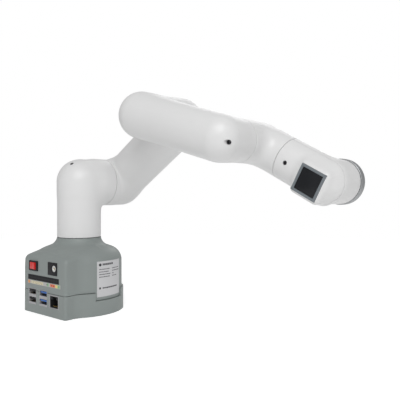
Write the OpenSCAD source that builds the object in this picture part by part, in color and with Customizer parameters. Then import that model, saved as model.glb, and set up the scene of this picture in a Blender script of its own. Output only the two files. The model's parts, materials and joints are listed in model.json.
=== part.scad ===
// Desktop six-axis collaborative robot arm, in millimetres.
// The origin is on the first joint's axis at the mounting plane, +Z is up, the port
// panel faces -X and the arm reaches towards -Y in its rest pose.

/* [Base] */
// Radius of the lower base shell
base_r = 45.5; // [44:0.5:48]
// Step in from the lower to the upper base shell
base_step = 1.7; // [1:0.1:2]
// Distance from the first axis to the port panel
panel_x = 42.4; // [41:0.1:44]
// Half the width of the port panel box
panel_half_w = 35.5; // [34:0.5:37]
// Height of the lower base shell
lower_h = 22.5; // [22:0.5:24]
// Height where the upright wall of the base turns in
wall_top = 53; // [50:1:54]
// Height where the sloping top of the base meets the flare of the neck
top_h = 67.2; // [66:0.2:68]
// Fall of the sloping top for each millimetre outwards
top_fall = 0.39; // [0.36:0.01:0.42]
// Height of the first joint's seam
neck_top = 74.5; // [73:0.5:78]
// Radius of the neck and of the first upright tube
neck_r = 22.3; // [22:0.1:23]

/* [Arm] */
// Height of the shoulder axis
shoulder_h = 131.4; // [128:0.2:136]
// Distance from the shoulder axis to the elbow axis
upper_len = 110; // [105:1:125]
// Distance from the elbow axis to the first wrist axis
fore_len = 95; // [92:1:110]
// Distance from the first wrist axis to the flange axis
wrist_len = 75; // [73:1:80]
// Distance of the upper arm's plane from the first axis
upper_x = 55.9; // [55:0.1:58]
// Distance of the forearm's plane from the first axis
fore_x = 3.5; // [2:0.1:5]
// Distance of the wrist's plane from the first axis
wrist_x = 64.4; // [63:0.1:66]
// Radius of the shoulder tube
shoulder_r = 25; // [24.5:0.1:25.5]
// Radius of the upper arm's tube
upper_r = 23.3; // [23:0.1:23.8]
// Radius of the elbow tube
elbow_r = 21.9; // [21.5:0.1:22.5]
// Radius of the forearm's tube
fore_r = 20.1; // [20:0.1:20.6]
// Radius of the wrist tubes
wrist_r = 19.25; // [19.25:0.05:19.6]

/* [Rest pose] */
// Lean of the upper arm from upright towards -Y, in degrees
upper_tilt = 56.2; // [50:0.1:60]
// Lean of the forearm from upright towards -Y, in degrees
fore_tilt = 106.7; // [100:0.1:110]
// Lean of the wrist from upright towards -Y, in degrees
wrist_tilt = 118.1; // [110:0.1:120]

/* [Joints] */
// X of the shoulder, elbow and first wrist seams
seam_x = 30; // [30:0.1:31]
// Distance of the second wrist seam from the first wrist axis
wrist_seam = 32; // [32:0.1:34]
// Distance of the flange seam from the wrist's plane
flange_seam = 23; // [23:0.1:24]
// Gap between two shells at a joint
seam_gap = 0.5; // [0.4:0.1:0.8]
// Radius of every joint's output shaft
shaft_r = 4; // [3:0.5:5]
// Running clearance round an output shaft
shaft_fit = 0.05; // [0.02:0.01:0.1]

/* [Tool flange] */
// Radius of the tool flange
flange_r = 20; // [19.8:0.1:20.5]
// Thickness of the tool flange
flange_t = 7.6; // [7:0.1:9]
// Pitch circle of the tool bolts
tool_pcd = 31.5; // [31.5]
// Core radius of a tapped tool hole (M5)
tool_hole_r = 2.1; // [2.1]
// Radius of the centring recess
pilot_r = 10; // [10]

/* [Mounting] */
// Spacing of the base bolts, both ways
bolt_spacing = 50; // [44:1:52]
// Core radius of a base insert's thread (M4)
bolt_hole_r = 1.65; // [1.65]

/* [Shells] */
// Wall thickness of the moulded shells
wall = 2.4; // [2:0.1:2.8]

/* [Hidden] */
$fn = 64;

// Colours
white = [0.86, 0.87, 0.87];
grey = [0.57, 0.60, 0.59];
steel = [0.72, 0.73, 0.75];
alloy = [0.60, 0.61, 0.62];
black = [0.07, 0.07, 0.08];
board_green = [0.06, 0.30, 0.16];

// Small amount that makes a cut pass through a face
eps = 0.5;
half_gap = seam_gap / 2;

// Joint centres
shoulder = [0, 0, shoulder_h];
elbow = shoulder + upper_len * [0, -sin(upper_tilt), cos(upper_tilt)];
wrist = elbow + fore_len * [0, -sin(fore_tilt), cos(fore_tilt)];

// Base
upper_base_r = base_r - base_step;
flare_r = 25.4;
box_from = -30;
floor_t = 3;
insert_r = 3.2;
insert_h = 6;
boss_r = 5.4;
shell_screw = [20, 62, 118, 242, 340];
shell_screw_r = 38.6;

// Port panel features: centre as [y, z] and size as [width, height]
rocker_at = [17.1, 47.2];
bezel_size = [14.6, 9.8];
rocker_size = [9.6, 6.8];
rocker_rest = 6;
dc_at = [-15.2, 46.8];
dc_size = [15, 12.4];
dc_hole = [-18, 47.3];
gpio_at = [1, 35.5];
gpio_size = [52.6, 5.2];
pin_pitch = 2.54;
label_at = [0, 30.6];
label_size = [55.6, 3.6];
usb2_y = 19.5;
usb3_y = 0.75;
eth_y = -17.4;
board_top = 8.5;
board_t = 1.4;
board_x = -panel_x + wall + 1.2;
board_size = [68, 56];
port_gap = 0.2;
usb_size = [13.4, 16];
eth_size = [15.9, 13.5];
eth_cavity = [11.9, 9.2];

// Rating label on the round wall: middle angle, sweep, foot and head heights
rating_angle = -83;
rating_sweep = 42;
rating_z = [18, 52.8];
// Tongue of the upper shell that carries the label down over the lower one
tongue_sweep = 46;
tongue_foot = 15;
tongue_gap = 0.25;
tongue_inset = 0.1;

// Gear motors: body radius, length behind the output plate
motor_plate_t = 3.6;
plate_back = 2.4;
bearing_r = 9;
shaft_depth = plate_back + motor_plate_t + 8.5;
pilot_depth = 4;
hub_r = 9.6;
hub_t = 2.1;
hub_screw_r = 1.25;
horn_t = 4;
horn_back = 0.6;

// Display module on wrist 2, as [distance along the wrist, height across it]
display_at = [70, -4];
display_size = 24;
display_glass = 19.2;
display_face = 43;
cover_split = 58.5;
boss_size = 30;
wrist_screw_at = [42, 0];

// ---- helpers -------------------------------------------------------------

// Children in the frame of a tilted link: its joint at the origin, its length along +Z
module on_link(joint, x, tilt) {
    translate([x, joint[1], joint[2]]) rotate([tilt, 0, 0]) children();
}

// Children with +Z turned onto +X (side = 1) or -X (side = -1)
module sideways(side) {
    rotate([0, 90 * side, 0]) children();
}

// Round end cap on the plane z = 0, reaching depth along +Z
module dome(r, depth) {
    rotate_extrude($fn = 96) intersection() {
        union() {
            translate([r - depth, 0]) circle(depth, $fn = 96);
            square([r - depth, depth]);
        }
        square([r, depth]);
    }
}

// Tube from z = 0 to z = len with a round end at both ends
module capsule(r, len) {
    cylinder(r = r, h = len, $fn = 96);
    sphere(r, $fn = 96);
    translate([0, 0, len]) sphere(r, $fn = 96);
}

// Everything on one side of the plane x = at: below it, or above it
module below(at) {
    intersection() {
        children();
        translate([at - 300, -400, -50]) cube([300, 600, 400]);
    }
}
module above(at) {
    intersection() {
        children();
        translate([at, -400, -50]) cube([300, 600, 400]);
    }
}

// Geared servo motor with its output plate, ahead along +Z; the seam is at z = 0
module gearmotor(r, plate_r, len) {
    color(black) difference() {
        union() {
            translate([0, 0, -plate_back - motor_plate_t])
                cylinder(r = plate_r, h = motor_plate_t);
            translate([0, 0, -plate_back - motor_plate_t - len]) cylinder(r = r, h = len + eps);
            translate([0, 0, -plate_back - motor_plate_t - len - 2]) cylinder(r = r - 3, h = 3);
        }
        translate([0, 0, -plate_back - motor_plate_t]) cylinder(r = bearing_r, h = 10);
        translate([0, 0, -plate_back - motor_plate_t - 9]) cylinder(r = shaft_r + shaft_fit, h = 12);
        for (a = [45:90:315]) rotate(a) translate([(bearing_r + plate_r) / 2, 0, -plate_back - 2])
            cylinder(r = 1, h = 4, $fn = 24);
    }
}

// Ball bearing round the output shaft, in the pocket of the output plate
module joint_bearing() {
    color(steel) translate([0, 0, -plate_back - motor_plate_t]) difference() {
        cylinder(r = bearing_r, h = motor_plate_t);
        translate([0, 0, -1]) cylinder(r = shaft_r + shaft_fit, h = motor_plate_t + 2);
        translate([0, 0, motor_plate_t - 0.4]) difference() {
            cylinder(r = bearing_r - 1.2, h = 1);
            translate([0, 0, -1]) cylinder(r = shaft_r + 1.4, h = 3);
        }
    }
}

// Output shaft with the horn that carries the next link
module output_shaft(horn_r) {
    color(alloy) difference() {
        union() {
            translate([0, 0, -shaft_depth]) cylinder(r = shaft_r, h = shaft_depth + horn_back + 1);
            translate([0, 0, horn_back]) cylinder(r = horn_r, h = horn_t);
        }
        for (a = [0:90:270]) rotate(a) translate([(horn_r + shaft_r) / 2, 0, 0])
            cylinder(r = 1.25, h = 8, $fn = 24);
    }
}

// Socket screw: head with a hexagonal recess on top, shank below
module screw(head_r, head_h, shank_r, shank_h) {
    difference() {
        union() {
            cylinder(r = head_r, h = head_h, $fn = 32);
            translate([0, 0, -shank_h]) cylinder(r = shank_r, h = shank_h + 0.2, $fn = 24);
        }
        translate([0, 0, head_h * 0.4]) cylinder(r = head_r * 0.5, h = head_h, $fn = 6);
    }
}

// Bundle of straight wires from z = 0 to z = len
module harness(len) {
    pitch = 2.7;
    for (i = [-1:1], j = [-1:1]) translate([i * pitch, j * pitch, 0])
        cylinder(r = 1.2, h = len, $fn = 24);
}

// ---- base ----------------------------------------------------------------

// Children cut off where the box behind the port panel takes over from the round base
module round_part() {
    intersection() {
        children();
        translate([box_from, -60, -10]) cube([120, 120, 120]);
    }
}

// Plan of the base: round, with a box towards the port panel, drawn in by inset
module base_plan(r, inset) {
    intersection() {
        circle(r - inset, $fn = 128);
        translate([box_from, -60]) square(120);
    }
    translate([-panel_x + inset, -panel_half_w + inset])
        square([panel_x - inset, 2 * (panel_half_w - inset)]);
}

// Height of the sloping top at a distance from the first axis
function top_at(r) = top_h - top_fall * (r - flare_r);

// Round part of the base with its shoulder and the flare of the neck, drawn in by inset
module base_dome(inset) {
    rotate_extrude($fn = 128) polygon([
        [0, lower_h - 1], [upper_base_r - inset, lower_h - 1], [upper_base_r - inset, wall_top],
        [42.6 - inset, 56.4 - inset * 0.3], [39 - inset, 60.7 - inset * 0.5],
        [33.8 - inset, top_at(33.8) - inset * 0.8], [flare_r - inset, top_h - inset],
        [neck_r - inset, 70.4 - inset], [neck_r - inset, 70.4], [0, 70.4]
    ]);
}

// Box behind the port panel, its top sloping down to three sides, drawn in by inset
module panel_box(inset) {
    side = panel_half_w - inset;
    depth = panel_x + 20;
    intersection() {
        translate([0, side, 0]) rotate([90, 0, 0]) linear_extrude(2 * side) polygon([
            [-panel_x + inset, lower_h - 1], [0, lower_h - 1], [0, 66 - inset], [-26, 65.4 - inset],
            [-34, 62.6 - inset], [-39.5, 59.8 - inset], [-panel_x + inset, 56 - inset]
        ]);
        translate([-depth, 0, 0]) rotate([90, 0, 90]) linear_extrude(depth) polygon([
            [-side, 0], [side, 0], [side, 59.2 - inset], [20, 63.2 - inset],
            [0, 65 - inset], [-20, 63.2 - inset], [-side, 59.2 - inset]
        ]);
    }
}

// Places children at each base bolt
module at_bolts() {
    for (x = [-1, 1], y = [-1, 1]) translate([x, y, 0] * bolt_spacing / 2) children();
}

// Places children at each screw between the two base shells
module at_shell_screws() {
    for (a = shell_screw) rotate(a) translate([shell_screw_r, 0, 0]) children();
}

// Clear openings in the port panel for every socket on it
module port_cutouts() {
    depth = 8;
    module window(at, size) {
        translate([-panel_x - 4, at[0] - size[0] / 2, at[1] - size[1] / 2])
            cube([depth, size[0], size[1]]);
    }
    window([usb2_y, board_top + usb_size[1] / 2], usb_size);
    window([usb3_y, board_top + usb_size[1] / 2], usb_size);
    window([eth_y, board_top + eth_size[1] / 2], eth_size);
    window(gpio_at, gpio_size);
    window(rocker_at, bezel_size - [1.6, 1.6]);
    window(dc_at, dc_size);
}

module base_lower_shell() {
    color(grey) difference() {
        union() {
            difference() {
                linear_extrude(lower_h) base_plan(base_r, 0);
                translate([0, 0, floor_t]) linear_extrude(lower_h) base_plan(base_r, wall);
            }
            at_bolts() cylinder(r = boss_r, h = insert_h + 0.8);
            at_shell_screws() cylinder(r = 3.6, h = lower_h - 2);
        }
        at_bolts() translate([0, 0, -1]) cylinder(r = insert_r, h = insert_h + 1);
        at_bolts() cylinder(r = bolt_hole_r + 0.6, h = insert_h + 2, $fn = 32);
        at_shell_screws() translate([0, 0, -1]) cylinder(r = 1.6, h = lower_h + 2, $fn = 24);
        at_shell_screws() translate([0, 0, -1]) cylinder(r = 2.9, h = 5, $fn = 32);
        port_cutouts();
        label_band(tongue_sweep + 1, tongue_foot - tongue_gap, lower_h + 1,
                   upper_base_r - wall - 1, base_r + 1);
    }
}

module base_upper_walls() {
    difference() {
        union() {
            round_part() base_dome(0);
            panel_box(0);
            cylinder(r = neck_r, h = neck_top - half_gap);
        }
        round_part() base_dome(wall);
        panel_box(wall);
        cylinder(r = neck_r - wall, h = neck_top + 1);
    }
}

module base_upper_shell() {
    color(grey) union() {
        difference() {
            union() {
                base_upper_walls();
                at_shell_screws() translate([0, 0, lower_h]) cylinder(r = 3.4, h = 14);
            }
            translate([-60, -60, 0]) cube([120, 120, lower_h]);
            at_shell_screws() translate([0, 0, lower_h - 1]) cylinder(r = 1.3, h = 11, $fn = 24);
            port_cutouts();
        }
        label_band(tongue_sweep, tongue_foot, lower_h + 2, upper_base_r - wall + tongue_inset,
                   upper_base_r - tongue_inset);
    }
}

// Curved plate round the first axis under the rating label, between two radii
module label_band(sweep, z0, z1, r0, r1) {
    rotate([0, 0, rating_angle - sweep / 2]) translate([0, 0, z0])
        rotate_extrude(angle = sweep, $fn = 128) translate([r0, 0]) square([r1 - r0, z1 - z0]);
}

module rating_label() {
    color("white") label_band(rating_sweep, rating_z[0], rating_z[1],
                              upper_base_r, upper_base_r + 0.2);
}

module base_inserts() {
    color([0.78, 0.62, 0.30]) at_bolts() difference() {
        cylinder(r = insert_r, h = insert_h);
        translate([0, 0, -1]) cylinder(r = bolt_hole_r, h = insert_h + 2, $fn = 32);
    }
}

module base_screws() {
    color(steel) at_shell_screws() translate([0, 0, 4]) rotate([180, 0, 0])
        translate([0, 0, 0.2]) screw(2.6, 1.8, 1.25, 24);
}

// Places children at each mounting hole of the computer board, on the floor
module at_standoffs() {
    for (x = [3.5, 52.5], y = [-24.5, 24.5]) translate([board_x + x, y, floor_t]) children();
}

module computer_board() {
    color(board_green) difference() {
        translate([board_x, -board_size[1] / 2, board_top - board_t])
            cube([board_size[0], board_size[1], board_t]);
        at_standoffs() cylinder(r = 1.35, h = board_top, $fn = 24);
    }
}

module board_standoffs() {
    color(steel) at_standoffs() cylinder(r = 2.4, h = board_top - board_t - floor_t, $fn = 24);
}

module motor_driver_board() {
    color([0.05, 0.16, 0.32]) translate([-20, -24, 25.4]) cube([48, 48, 1.6]);
    color(black) for (y = [-18, -4, 10]) translate([2, y, 27]) cube([9, 8, 1.8]);
}

// Two stacked sockets in one metal can, with a contact tongue in each
module usb_stack(y, tongue) {
    slot = [12.4, 4.9];
    color(steel) translate([-panel_x - port_gap, y, board_top]) difference() {
        translate([0, -usb_size[0] / 2, 0]) cube([18.5, usb_size[0], usb_size[1]]);
        for (z = [2.2, 10.3]) translate([-1, -slot[0] / 2, z]) cube([11, slot[0], slot[1]]);
    }
    color(tongue) for (z = [2.2, 10.3])
        translate([-panel_x + 0.6, y - 5.4, board_top + z + 2.5]) cube([10.5, 10.8, 1.8]);
}

module usb2_stack() {
    usb_stack(usb2_y, black);
}

module usb3_stack() {
    usb_stack(usb3_y, [0.10, 0.32, 0.66]);
}

module ethernet_jack() {
    latch = 6;
    color(steel) translate([-panel_x - port_gap, eth_y, board_top]) difference() {
        translate([0, -eth_size[0] / 2, 0]) cube([19, eth_size[0], eth_size[1]]);
        translate([-1, -eth_cavity[0] / 2, 1.6]) cube([15, eth_cavity[0], eth_cavity[1] - 2]);
        translate([-1, -latch / 2, 1.6]) cube([9, latch, eth_cavity[1] + 0.6]);
    }
}

// Two rows of twenty sockets behind one black bar
module gpio_header() {
    color(black) translate([-panel_x - port_gap, gpio_at[0], gpio_at[1]]) difference() {
        translate([0, -gpio_size[0] / 2, -gpio_size[1] / 2]) cube([8.5, gpio_size[0], gpio_size[1]]);
        for (i = [0:19], row = [-1, 1])
            translate([-1, (i - 9.5) * pin_pitch - 0.4, row * pin_pitch / 2 - 0.4])
                cube([5, 0.8, 0.8]);
    }
}

module pinout_label() {
    color("white") translate([-panel_x - 0.2, label_at[0] - label_size[0] / 2,
                              label_at[1] - label_size[1] / 2])
        cube([0.2, label_size[0], label_size[1]]);
}

// Frame of the power switch, with the pocket and pivot holes of its rocker
module rocker_bezel() {
    clear = 0.25;
    pocket = rocker_size + [2 * clear, 2 * clear];
    color(black) translate([-panel_x, rocker_at[0], rocker_at[1]]) difference() {
        union() {
            translate([-1.2, -bezel_size[0] / 2, -bezel_size[1] / 2])
                cube([1.2, bezel_size[0], bezel_size[1]]);
            translate([-0.1, -bezel_size[0] / 2 + 0.8, -bezel_size[1] / 2 + 0.8])
                cube([14, bezel_size[0] - 1.6, bezel_size[1] - 1.6]);
        }
        translate([-3, -pocket[0] / 2, -pocket[1] / 2]) cube([10, pocket[0], pocket[1]]);
        translate([3, 0, -bezel_size[1]]) cylinder(r = 0.8 + shaft_fit, h = 2 * bezel_size[1], $fn = 24);
    }
}

// Red rocker with two faces that meet over its pivot pins
module power_rocker() {
    half = rocker_size[0] / 2;
    rise = half * tan(rocker_rest);
    color([0.80, 0.07, 0.06]) translate([-panel_x + 3, rocker_at[0], rocker_at[1]]) {
        rotate(-rocker_rest) translate([0, 0, -rocker_size[1] / 2]) linear_extrude(rocker_size[1])
            polygon([[-4.6 - rise, -half + 0.2], [-4.6, 0], [-4.6 - rise, half - 0.2],
                     [-1, half - 0.2], [2.4, 2.2], [2.4, -2.2], [-1, -half + 0.2]]);
        translate([0, 0, -rocker_size[1] / 2 - 0.6]) cylinder(r = 0.8, h = rocker_size[1] + 1.2, $fn = 24);
    }
}

module dc_jack_body() {
    color(black) difference() {
        translate([-panel_x - 0.8, dc_at[0] - dc_size[0] / 2, dc_at[1] - dc_size[1] / 2])
            cube([14, dc_size[0], dc_size[1]]);
        translate([-panel_x - 2, dc_hole[0], dc_hole[1]]) sideways(1) cylinder(r = 3.2, h = 12);
    }
}

module dc_jack_contacts() {
    color(steel) translate([-panel_x - 1, dc_hole[0], dc_hole[1]]) sideways(1) {
        difference() {
            cylinder(r = 3.2, h = 11);
            translate([0, 0, -1]) cylinder(r = 2.75, h = 11);
        }
        translate([0, 0, 1.5]) cylinder(r = 1, h = 8, $fn = 32);
    }
}

module in_neck() {
    translate([0, 0, neck_top]) children();
}

module j1_gearmotor() {
    in_neck() gearmotor(16, neck_r - wall, 34);
}

module j1_bearing() {
    in_neck() joint_bearing();
}

module j1_output_shaft() {
    in_neck() output_shaft(neck_r - wall);
}

// ---- turret --------------------------------------------------------------

module turret_solid(inset, seam) {
    foot = neck_top + half_gap;
    translate([0, 0, foot - seam]) cylinder(r = neck_r - inset, h = shoulder_h - foot + seam);
    translate(shoulder) sideways(-1) dome(shoulder_r - inset, neck_r - inset);
    translate(shoulder) sideways(1) cylinder(r = shoulder_r - inset, h = seam_x - half_gap + seam);
}

// Screw on the rounded corner, as an offset from the shoulder
turret_screw_at = [-13.8, -5.2, 20.1];

module turret_shell() {
    color(white) difference() {
        turret_solid(0, 0);
        turret_solid(wall, 1);
        translate(shoulder + turret_screw_at) rotate([15, -34, 0]) translate([0, 0, -5])
            cylinder(r = 2, h = 12, $fn = 32);
    }
}

module turret_screw() {
    color(black) translate(shoulder + turret_screw_at) rotate([15, -34, 0])
        translate([0, 0, -3]) cylinder(r = 2, h = 1.8, $fn = 32);
}

module j2_frame() {
    translate([seam_x, 0, shoulder_h]) sideways(1) children();
}

module j2_gearmotor() {
    j2_frame() gearmotor(18, shoulder_r - wall, 26);
}

module j2_bearing() {
    j2_frame() joint_bearing();
}

module j2_output_shaft() {
    j2_frame() output_shaft(shoulder_r - wall);
}

// ---- upper arm -----------------------------------------------------------

module upper_arm_solid(inset, seam) {
    reach = upper_x - seam_x - half_gap + seam;
    on_link(shoulder, upper_x, upper_tilt) {
        capsule(upper_r - inset, upper_len);
        sphere(shoulder_r - inset, $fn = 96);
        sideways(-1) cylinder(r = shoulder_r - inset, h = reach, $fn = 96);
        translate([0, 0, upper_len]) sideways(-1) cylinder(r = elbow_r - inset, h = reach);
    }
}

// Screws of the outer cover, as distances along the upper arm
upper_screws = [0, upper_len / 2, upper_len];

module upper_arm_casing() {
    difference() {
        upper_arm_solid(0, 0);
        upper_arm_solid(wall, 1);
        on_link(shoulder, upper_x, upper_tilt) for (s = upper_screws) translate([0, 0, s])
            sideways(1) translate([0, 0, upper_r - 4]) cylinder(r = 1.8, h = 8, $fn = 32);
    }
}

module upper_arm_shell() {
    color(white) below(upper_x) upper_arm_casing();
}

module upper_arm_cover() {
    color(white) above(upper_x) upper_arm_casing();
}

module upper_arm_screws() {
    color(black) on_link(shoulder, upper_x, upper_tilt) for (s = upper_screws)
        translate([0, 0, s]) sideways(1) translate([0, 0, upper_r - 2.2])
            cylinder(r = 1.8, h = 1.4, $fn = 32);
}

module upper_arm_harness() {
    color([0.15, 0.15, 0.16]) on_link(shoulder, upper_x, upper_tilt)
        translate([0, 0, 14]) harness(76);
}

module j3_frame() {
    translate([seam_x, elbow[1], elbow[2]]) sideways(-1) children();
}

module j3_gearmotor() {
    j3_frame() gearmotor(17, elbow_r - wall, 24);
}

module j3_bearing() {
    j3_frame() joint_bearing();
}

module j3_output_shaft() {
    j3_frame() output_shaft(elbow_r - wall);
}

// ---- forearm -------------------------------------------------------------

module forearm_solid(inset, seam) {
    reach = seam_x - half_gap - fore_x + seam;
    on_link(elbow, fore_x, fore_tilt) {
        capsule(fore_r - inset, fore_len);
        sideways(1) cylinder(r = elbow_r - inset, h = reach);
        sphere(elbow_r - inset, $fn = 96);
        translate([0, 0, fore_len]) sideways(1) cylinder(r = wrist_r - inset, h = reach);
    }
}

// Screws of the forearm's cover, as distances along it
fore_screws = [-19.2, fore_len + 17.4];

module forearm_casing() {
    difference() {
        forearm_solid(0, 0);
        forearm_solid(wall, 1);
        on_link(elbow, fore_x, fore_tilt) for (s = fore_screws) translate([0, 0, s])
            sideways(-1) translate([0, 0, 5]) cylinder(r = 2, h = 20, $fn = 32);
    }
}

module forearm_cover() {
    color(white) below(fore_x) forearm_casing();
}

module forearm_shell() {
    color(white) above(fore_x) forearm_casing();
}

module forearm_screws() {
    color(black) on_link(elbow, fore_x, fore_tilt) for (s = fore_screws)
        translate([0, 0, s]) sideways(-1) translate([0, 0, 6.2]) cylinder(r = 2, h = 1.6, $fn = 32);
}

module forearm_harness() {
    color([0.15, 0.15, 0.16]) on_link(elbow, fore_x, fore_tilt)
        translate([0, 0, 18]) harness(58);
}

module j4_frame() {
    translate([seam_x, wrist[1], wrist[2]]) sideways(1) children();
}

module j4_gearmotor() {
    j4_frame() gearmotor(15, wrist_r - wall, 24);
}

module j4_bearing() {
    j4_frame() joint_bearing();
}

module j4_output_shaft() {
    j4_frame() output_shaft(wrist_r - wall);
}

// ---- wrist ---------------------------------------------------------------

module on_wrist() {
    on_link(wrist, wrist_x, wrist_tilt) children();
}

module wrist_1_solid(inset, seam) {
    r = wrist_r - inset;
    on_wrist() {
        sphere(r, $fn = 96);
        sideways(-1) cylinder(r = r, h = wrist_x - seam_x - half_gap + seam, $fn = 96);
        cylinder(r = r, h = wrist_seam - half_gap + seam, $fn = 96);
    }
}

module wrist_1_casing() {
    difference() {
        wrist_1_solid(0, 0);
        wrist_1_solid(wall, 1);
        on_wrist() wrist_1_screw_holes();
    }
}

module wrist_1_screw_holes() {
    for (y = [-10, 10]) translate([0, y, 0]) sideways(1) translate([0, 0, 10])
        cylinder(r = 1.6, h = 14, $fn = 32);
}

module wrist_1_shell() {
    color(white) below(wrist_x) wrist_1_casing();
}

module wrist_1_cover() {
    color(white) above(wrist_x) wrist_1_casing();
}

module wrist_1_screws() {
    color(black) on_wrist() for (y = [-10, 10]) translate([0, y, 0]) sideways(1)
        translate([0, 0, 13.2]) cylinder(r = 1.6, h = 1.4, $fn = 32);
}

module j5_frame() {
    on_wrist() translate([0, 0, wrist_seam]) children();
}

module j5_gearmotor() {
    j5_frame() gearmotor(14.5, wrist_r - wall, 20);
}

module j5_bearing() {
    j5_frame() joint_bearing();
}

module j5_output_shaft() {
    j5_frame() output_shaft(wrist_r - wall);
}

// Square boss that carries the display, with a rounded outline, from the face back
module display_boss(inset) {
    half = boss_size / 2 - inset;
    round_r = 5;
    depth = wrist_x - display_face - inset;
    translate([0, display_at[1], display_at[0]]) sideways(-1) linear_extrude(depth)
        for (a = [0, 90]) rotate(a) union() {
            square([2 * half, 2 * (half - round_r)], center = true);
            for (x = [-1, 1], y = [-1, 1]) translate([x, y] * (half - round_r)) circle(round_r);
        }
}

module wrist_2_solid(inset, seam) {
    r = wrist_r - inset;
    foot = wrist_seam + half_gap - seam;
    on_wrist() {
        translate([0, 0, foot]) cylinder(r = r, h = wrist_len - foot, $fn = 96);
        translate([0, 0, wrist_len]) sphere(r, $fn = 96);
        translate([0, 0, wrist_len]) sideways(1)
            cylinder(r = r, h = flange_seam - half_gap + seam, $fn = 96);
        display_boss(inset);
    }
}

// Children on the display's face, with +Z out of it
module on_display() {
    on_wrist() translate([display_face - wrist_x, display_at[1], display_at[0]])
        sideways(-1) children();
}

module wrist_2_casing() {
    difference() {
        wrist_2_solid(0, 0);
        wrist_2_solid(wall, 1);
        on_display() translate([0, 0, -5])
            linear_extrude(8) square(display_size + 0.2, center = true);
        on_wrist() translate([0, wrist_screw_at[1], wrist_screw_at[0]]) sideways(-1)
            translate([0, 0, 12]) cylinder(r = 2, h = 12, $fn = 32);
    }
}

module wrist_2_cover() {
    color(white) below(cover_split) wrist_2_casing();
}

module wrist_2_shell() {
    color(white) above(cover_split) wrist_2_casing();
}

module wrist_2_screws() {
    color(black) on_wrist() translate([0, wrist_screw_at[1], wrist_screw_at[0]]) sideways(-1)
        translate([0, 0, 17]) cylinder(r = 2, h = 1.4, $fn = 32);
}

module display_bezel() {
    color(grey) on_display() translate([0, 0, -3]) linear_extrude(3.6) difference() {
        square(display_size, center = true);
        square(display_glass + 0.3, center = true);
    }
}

// Glossy face that is pushed in as a button
module display_button() {
    color(black) on_display() translate([0, 0, -2.2]) linear_extrude(2.4)
        square(display_glass, center = true);
}

module display_board() {
    color(board_green) on_display() translate([0, 0, -6.4]) linear_extrude(1.2)
        square(20, center = true);
}

module button_switch() {
    color(steel) on_display() translate([0, 0, -5.2]) {
        linear_extrude(1.6) square(6, center = true);
        translate([0, 0, 1.5]) cylinder(r = 1.5, h = 0.5, $fn = 32);
    }
}

module j6_frame() {
    on_wrist() translate([0, 0, wrist_len]) sideways(1)
        translate([0, 0, flange_seam]) children();
}

module j6_gearmotor() {
    j6_frame() gearmotor(14, wrist_r - wall, 17);
}

module j6_bearing() {
    j6_frame() joint_bearing();
}

// Places children at each screw between the tool flange and its hub
module at_hub_screws() {
    for (a = [45:90:315]) rotate(a) translate([7, 0, 0]) children();
}

// Shaft with the small hub that the tool flange is screwed to
module j6_output_shaft() {
    color(alloy) j6_frame() difference() {
        union() {
            translate([0, 0, -shaft_depth])
                cylinder(r = shaft_r, h = shaft_depth + half_gap + flange_t - pilot_depth);
            translate([0, 0, half_gap - hub_t]) cylinder(r = hub_r, h = hub_t);
        }
        at_hub_screws() translate([0, 0, -3]) cylinder(r = hub_screw_r, h = 6, $fn = 24);
    }
}

module tool_flange() {
    color(alloy) j6_frame() translate([0, 0, half_gap]) difference() {
        rotate_extrude($fn = 96) polygon([[0, 0], [flange_r - 0.4, 0], [flange_r, 0.4],
            [flange_r, flange_t - 0.6], [flange_r - 0.6, flange_t], [0, flange_t]]);
        translate([0, 0, flange_t - pilot_depth]) cylinder(r = pilot_r, h = pilot_depth + 1);
        translate([0, 0, -1]) cylinder(r = shaft_r, h = flange_t);
        for (a = [0:90:270]) rotate(a) translate([tool_pcd / 2, 0, -1])
            cylinder(r = tool_hole_r, h = flange_t + 2, $fn = 32);
        at_hub_screws() {
            translate([0, 0, -1]) cylinder(r = hub_screw_r, h = 6, $fn = 24);
            translate([0, 0, flange_t - pilot_depth - 1.8]) cylinder(r = 2.2, h = 3, $fn = 32);
        }
    }
}

module flange_screws() {
    color(steel) j6_frame() at_hub_screws()
        translate([0, 0, half_gap + flange_t - pilot_depth - 1.8]) screw(2, 1.6, hub_screw_r, 3.6);
}

base_lower_shell();
base_upper_shell();
base_inserts();
base_screws();
computer_board();
board_standoffs();
motor_driver_board();
usb2_stack();
usb3_stack();
ethernet_jack();
gpio_header();
pinout_label();
rating_label();
rocker_bezel();
power_rocker();
dc_jack_body();
dc_jack_contacts();
j1_gearmotor();
j1_bearing();
j1_output_shaft();
turret_shell();
turret_screw();
j2_gearmotor();
j2_bearing();
j2_output_shaft();
upper_arm_shell();
upper_arm_cover();
upper_arm_screws();
upper_arm_harness();
j3_gearmotor();
j3_bearing();
j3_output_shaft();
forearm_shell();
forearm_cover();
forearm_screws();
forearm_harness();
j4_gearmotor();
j4_bearing();
j4_output_shaft();
wrist_1_shell();
wrist_1_cover();
wrist_1_screws();
j5_gearmotor();
j5_bearing();
j5_output_shaft();
wrist_2_shell();
wrist_2_cover();
wrist_2_screws();
display_bezel();
display_button();
display_board();
button_switch();
j6_gearmotor();
j6_bearing();
j6_output_shaft();
tool_flange();
flange_screws();
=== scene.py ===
"""Looks of a desktop six-axis robot arm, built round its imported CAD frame.

Shapes are worked out in millimetres and put into the frame in metres.
"""

import json
import math
import random

import bmesh
import bpy
import numpy as np
from mathutils import Matrix, Vector


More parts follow.
